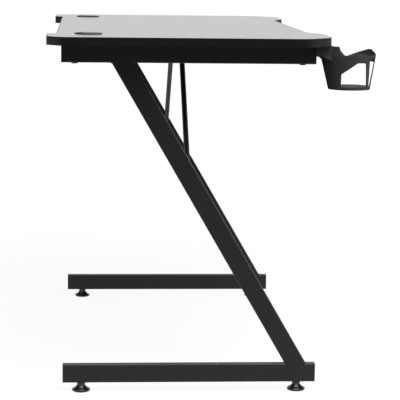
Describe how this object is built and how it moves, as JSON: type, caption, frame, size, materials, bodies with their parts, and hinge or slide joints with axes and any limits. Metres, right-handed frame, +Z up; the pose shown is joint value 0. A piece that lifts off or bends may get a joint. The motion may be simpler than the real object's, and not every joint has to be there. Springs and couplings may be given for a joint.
{
  "type": "gaming desk",
  "caption": "Z-leg gaming desk: black desktop with scooped front and stepped rear on slanted steel tube frames, with knee braces, levelling feet, cable outlets and a cup holder.",
  "frame": {"origin": "on the floor, under the middle of the desk's overall plan with the cup holder", "axes": "+X to the user's right along the desk, +Y from the user to the rear edge, +Z up"},
  "size_m": [1.2, 0.698, 0.7724],
  "materials": {
    "laminate": "satin black laminate on chipboard",
    "edge_plastic": "satin black edge band",
    "frame_paint": "black powder coat",
    "plug_plastic": "satin black",
    "black_screw": "black oxide",
    "zinc_steel": "zinc plated",
    "foot_plastic": "glossy black",
    "grommet_plastic": "satin black",
    "cup_plastic": "satin black moulding"
  },
  "bodies": {
    "frame": {"desktop_board": "laminate", "edge_band": "edge_plastic", "centre_rail": "frame_paint", "left_top_rail": "frame_paint", "left_leg": "frame_paint", "left_foot_bar": "frame_paint", "left_rail_plate": "frame_paint", "left_brace": "frame_paint", "right_top_rail": "frame_paint", "right_leg": "frame_paint", "right_foot_bar": "frame_paint", "right_rail_plate": "frame_paint", "right_brace": "frame_paint", "left_rail_front_plug": "plug_plastic", "left_rail_rear_plug": "plug_plastic", "left_foot_front_plug": "plug_plastic", "left_foot_rear_plug": "plug_plastic", "right_rail_front_plug": "plug_plastic", "right_rail_rear_plug": "plug_plastic", "right_foot_front_plug": "plug_plastic", "right_foot_rear_plug": "plug_plastic", "frame_bolts": "black_screw", "desktop_screws": "black_screw", "cup_holder_screws": "black_screw", "frame_nuts": "zinc_steel", "foot_nuts": "zinc_steel", "left_grommet_sleeve": "grommet_plastic", "right_grommet_sleeve": "grommet_plastic", "cup_holder": "cup_plastic"},
    "left_front_foot": {"left_front_foot_pad": "foot_plastic", "left_front_foot_stud": "zinc_steel"},
    "left_rear_foot": {"left_rear_foot_pad": "foot_plastic", "left_rear_foot_stud": "zinc_steel"},
    "left_cap": {"left_grommet_cap": "grommet_plastic"},
    "right_front_foot": {"right_front_foot_pad": "foot_plastic", "right_front_foot_stud": "zinc_steel"},
    "right_rear_foot": {"right_rear_foot_pad": "foot_plastic", "right_rear_foot_stud": "zinc_steel"},
    "right_cap": {"right_grommet_cap": "grommet_plastic"}
  },
  "joints": [
    {"name": "left_front_foot_screw", "type": "slide", "parent": "frame", "child": "left_front_foot", "axis": [0, 0, -1], "range_m": [0, 0.015]},
    {"name": "left_rear_foot_screw", "type": "slide", "parent": "frame", "child": "left_rear_foot", "axis": [0, 0, -1], "range_m": [0, 0.015]},
    {"name": "left_cap_turn", "type": "hinge", "parent": "frame", "child": "left_cap", "pos_m": [-0.456, 0.262, 0.77], "axis": [0, 0, 1], "continuous": true},
    {"name": "right_front_foot_screw", "type": "slide", "parent": "frame", "child": "right_front_foot", "axis": [0, 0, -1], "range_m": [0, 0.015]},
    {"name": "right_rear_foot_screw", "type": "slide", "parent": "frame", "child": "right_rear_foot", "axis": [0, 0, -1], "range_m": [0, 0.015]},
    {"name": "right_cap_turn", "type": "hinge", "parent": "frame", "child": "right_cap", "pos_m": [0.456, 0.262, 0.77], "axis": [0, 0, 1], "continuous": true}
  ]
}
